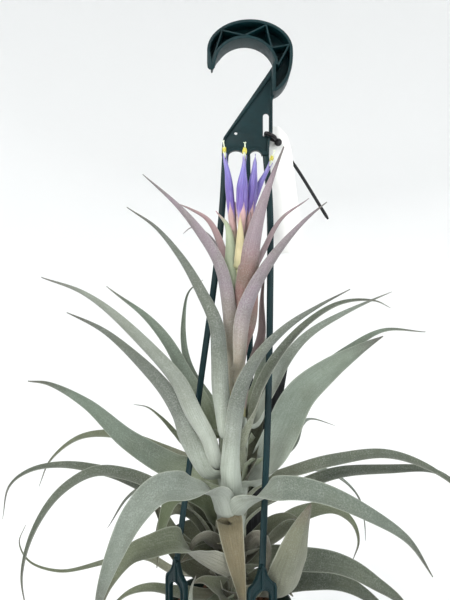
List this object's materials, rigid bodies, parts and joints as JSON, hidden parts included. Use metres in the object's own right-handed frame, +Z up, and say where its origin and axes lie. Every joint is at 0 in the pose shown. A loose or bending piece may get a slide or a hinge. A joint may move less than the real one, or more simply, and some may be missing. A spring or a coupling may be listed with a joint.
{
  "type": "flowering air plant in a hanging pot",
  "caption": "Silvery caulescent air plant with arching tapered leaves, pinkish bracts and violet tube flowers, in a small plastic pot on a three-strand moulded hanger.",
  "frame": {"origin": "the seat inside the top of the hanger's hook, where the hanger rests on its support", "axes": "+Z up, +X to the right as seen from the front, +Y away from the viewer"},
  "size_m": [0.3555, 0.1932, 0.4608],
  "materials": {
    "leaf_green": "matte grey-green with silvery scales",
    "leaf_grey": "matte silver grey with scales",
    "leaf_olive": "matte olive",
    "leaf_dry": "dry tan",
    "bract_lilac": "matte grey lilac",
    "bract_dusky": "matte mauve brown",
    "bract_pink": "matte pink",
    "bract_cream": "matte cream green",
    "petal_violet": "satin violet",
    "stem_green": "matte",
    "medium_brown": "rough bark",
    "hanger_green": "satin moulded",
    "pot_green": "satin",
    "card_white": "matte",
    "plastic_black": "matte"
  },
  "bodies": {
    "root": {"hanger_hook": "hanger_green", "hanger_strand_left": "hanger_green", "hanger_strand_middle": "hanger_green", "hanger_strand_right": "hanger_green", "pot": "pot_green", "growing_medium": "medium_brown", "plant_label": "plastic_black", "tag": "card_white", "tag_pin": "plastic_black", "stem": "stem_green", "leaf_bottom_left": "leaf_olive", "leaf_front_low": "leaf_green", "leaf_right_near": "leaf_green", "leaf_right_lowest": "leaf_green", "leaf_left_wave": "leaf_olive", "leaf_right_low": "leaf_green", "leaf_left_low": "leaf_olive", "leaf_right_hook": "leaf_olive", "leaf_left_loop": "leaf_green", "leaf_dry": "leaf_dry", "leaf_left_arch": "leaf_green", "leaf_left_inner": "leaf_green", "leaf_right_sweep": "leaf_green", "leaf_back_low": "leaf_olive", "leaf_front_left": "leaf_grey", "leaf_front_right": "leaf_olive", "leaf_back_left_low": "leaf_green", "leaf_right_arch": "leaf_green", "leaf_left_wide": "leaf_green", "leaf_back_right_droop": "leaf_green", "leaf_right_wide": "leaf_green", "leaf_back_left_arch": "leaf_olive", "leaf_front_up": "leaf_grey", "leaf_left_middle": "leaf_green", "leaf_right_long": "leaf_green", "leaf_back_left_hook": "leaf_olive", "leaf_left_high": "leaf_grey", "leaf_right_bend": "leaf_olive", "leaf_back_inner": "leaf_green", "leaf_back_middle": "leaf_green", "leaf_left_high_back": "leaf_green", "leaf_right_high": "leaf_grey", "leaf_back_left_curl": "leaf_green", "leaf_left_top": "leaf_grey", "leaf_back_top": "leaf_green", "leaf_back_high": "leaf_green", "bract_back_dusky": "bract_dusky", "bract_right": "bract_lilac", "bract_left": "bract_lilac", "bract_front": "bract_lilac", "bract_right_inner": "bract_lilac", "bract_left_curl": "bract_lilac", "bract_left_inner": "bract_pink", "floral_bract_left": "bract_pink", "floral_bract_right": "bract_pink", "floral_bract_front": "bract_cream", "flower_left": "petal_violet", "flower_middle": "petal_violet", "flower_right": "petal_violet", "flower_far_right": "petal_violet"}
  },
  "joints": []
}
